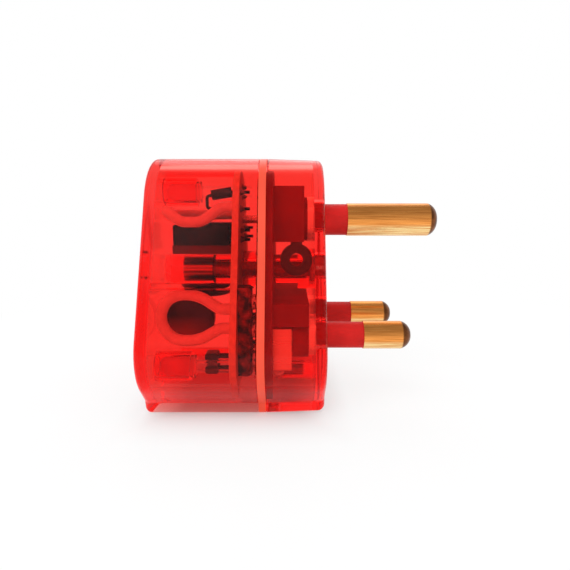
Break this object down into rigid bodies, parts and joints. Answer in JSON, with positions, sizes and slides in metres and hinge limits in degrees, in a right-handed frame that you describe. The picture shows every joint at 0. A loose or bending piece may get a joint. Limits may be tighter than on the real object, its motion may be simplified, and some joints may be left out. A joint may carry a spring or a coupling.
{
  "type": "rewireable plug",
  "caption": "Round-pin rewireable plug with a clear red split housing, sleeved brass pins, a cord entry underneath and a small surge board that shows inside.",
  "frame": {"origin": "on the flat mating face, midway between the line and neutral pins", "axes": "+X along the pins towards their tips, +Y towards the neutral pin, +Z towards the earth pin, away from the cord entry"},
  "size_m": [0.075, 0.0576, 0.0623],
  "materials": {
    "clear_red": "clear moulded plastic, polished",
    "seam_red": "clear moulded plastic, a little cloudy",
    "sleeve_red": "satin moulded",
    "carrier_red": "satin moulded",
    "brass": "turned, brushed along the pin and lightly tarnished",
    "zinc_steel": "zinc plated",
    "tinned_copper": "tinned",
    "solder": "smooth solder",
    "board_tan": "pressed paper laminate",
    "case_black": "smooth box",
    "tray_red": "satin moulded",
    "disc_blue": "dipped epoxy",
    "bead_brown": "dipped epoxy",
    "diode_black": "moulded",
    "lamp_clear": "clear cast lens",
    "wire_white": "soft insulation",
    "strip_dark": "moulded"
  },
  "bodies": {
    "root": {"front_shell": "clear_red", "seam_gasket": "seam_red", "rear_cover": "clear_red", "earth_pin": "brass", "line_pin": "brass", "neutral_pin": "brass", "earth_sleeve": "sleeve_red", "line_sleeve": "sleeve_red", "neutral_sleeve": "sleeve_red", "pin_carrier": "carrier_red", "earth_terminal_screw": "zinc_steel", "line_terminal_screw": "zinc_steel", "neutral_terminal_screw": "zinc_steel", "earth_link": "tinned_copper", "line_link": "tinned_copper", "neutral_link": "tinned_copper", "circuit_board": "board_tan", "solder_joints": "solder", "terminal_strip": "strip_dark", "strip_screws": "zinc_steel", "filter_case": "case_black", "filter_tray": "tray_red", "upright_varistor": "disc_blue", "flat_varistor": "disc_blue", "upper_bead_capacitor": "bead_brown", "lower_bead_capacitor": "bead_brown", "diode": "diode_black", "upper_lamp": "lamp_clear", "lower_lamp": "lamp_clear", "upper_wire": "wire_white", "lower_wire": "wire_white", "earth_tag": "tinned_copper", "cover_screw": "zinc_steel", "cover_insert": "brass", "cord_grip": "carrier_red", "grip_screws": "zinc_steel"}
  },
  "joints": []
}
